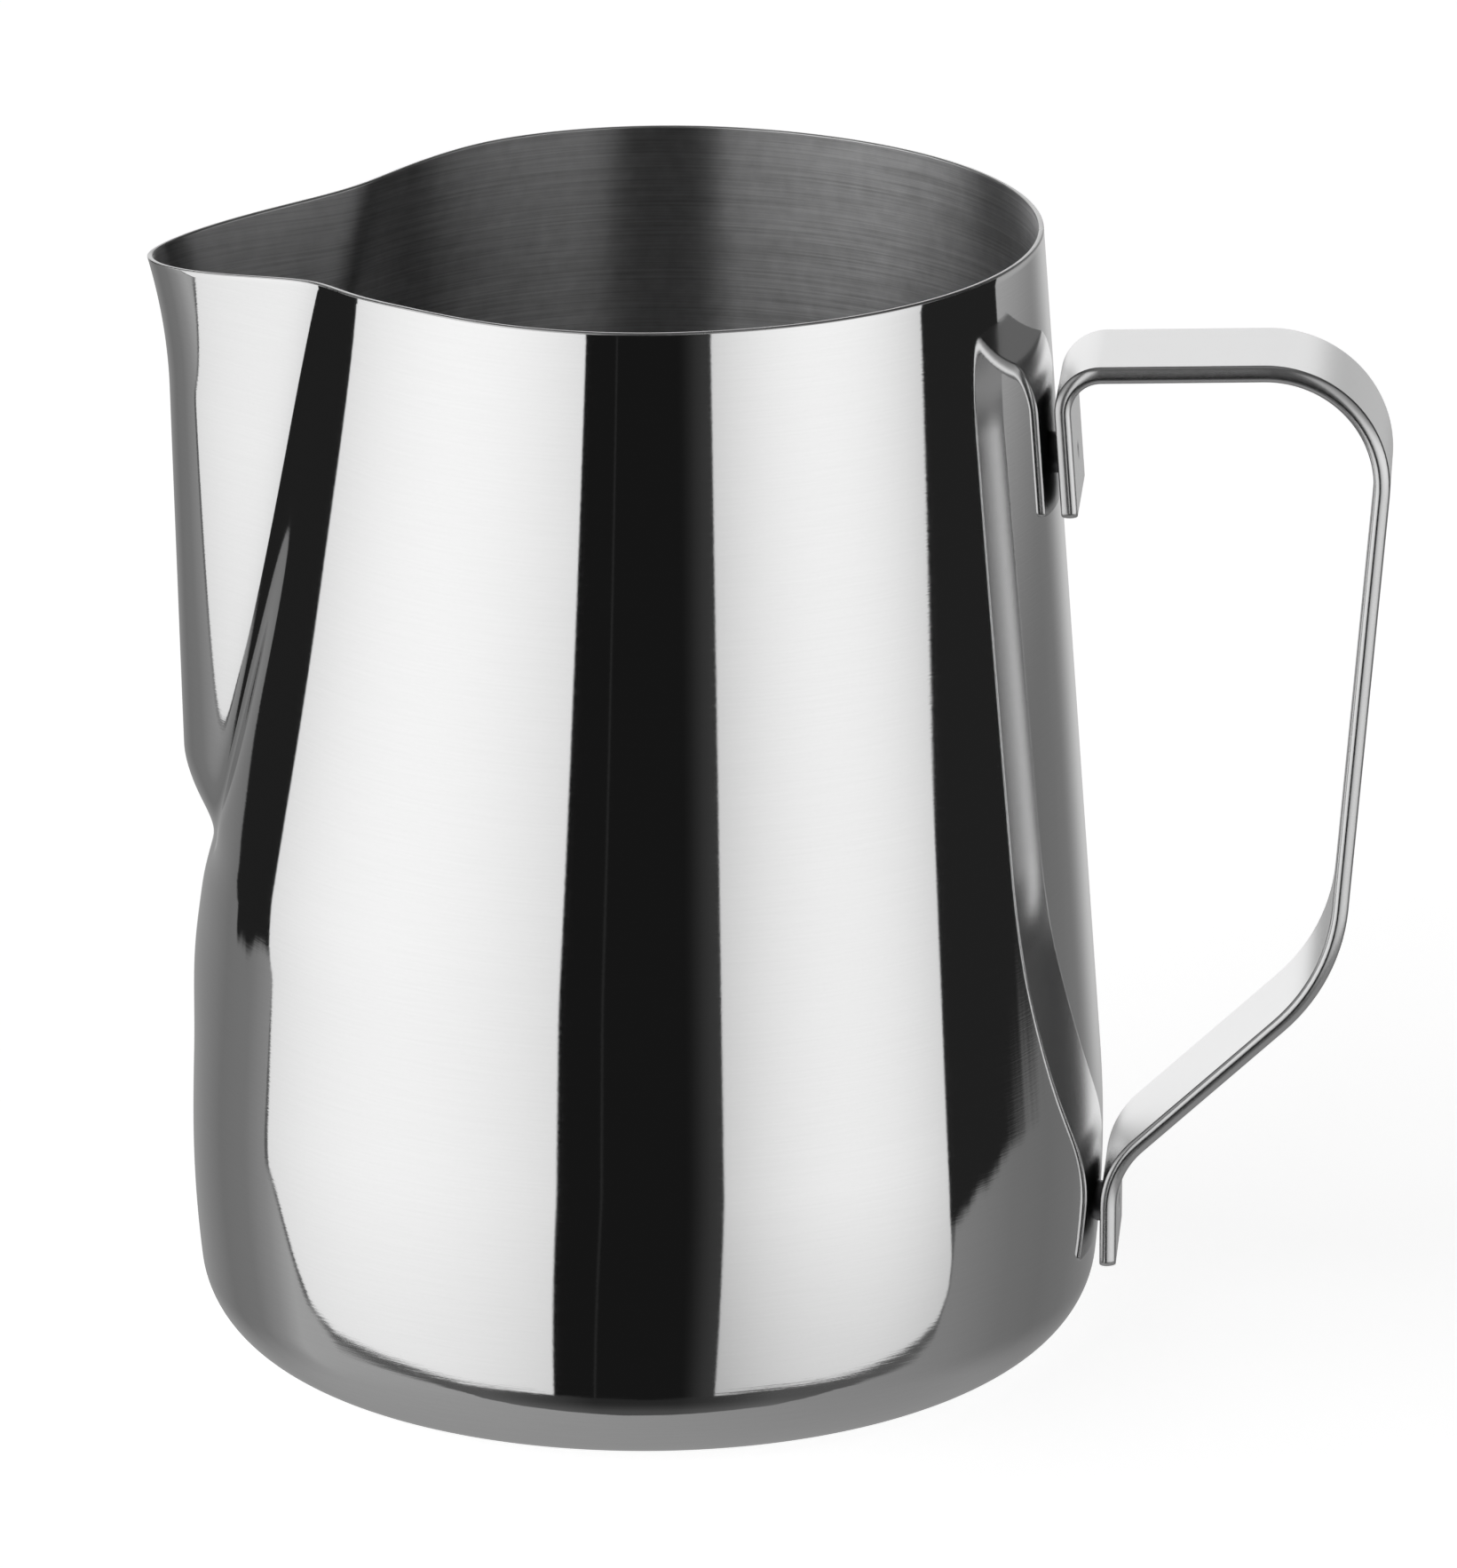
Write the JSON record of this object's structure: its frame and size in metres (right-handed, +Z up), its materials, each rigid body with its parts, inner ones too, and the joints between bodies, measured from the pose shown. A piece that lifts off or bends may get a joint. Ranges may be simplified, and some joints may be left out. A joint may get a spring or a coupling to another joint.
{
  "type": "milk frothing pitcher",
  "caption": "Polished stainless steel milk frothing pitcher with a tapered drawn body, a pressed pouring spout and a bent strip handle welded to the wall",
  "frame": {"origin": "centre of the flat base, on the surface that the pitcher stands on", "axes": "+Z up along the axis of the round body, +X from the axis towards the handle, the spout points along -X, Y across"},
  "size_m": [0.1347, 0.1006, 0.125],
  "materials": {
    "polished_steel": "mirror polished outside, brushed in rings inside",
    "satin_steel": "satin, tumbled edges",
    "weld_steel": "matte spot-weld metal"
  },
  "bodies": {
    "root": {"body_shell": "polished_steel", "handle_strip": "satin_steel", "upper_weld": "weld_steel", "lower_weld": "weld_steel"}
  },
  "joints": []
}
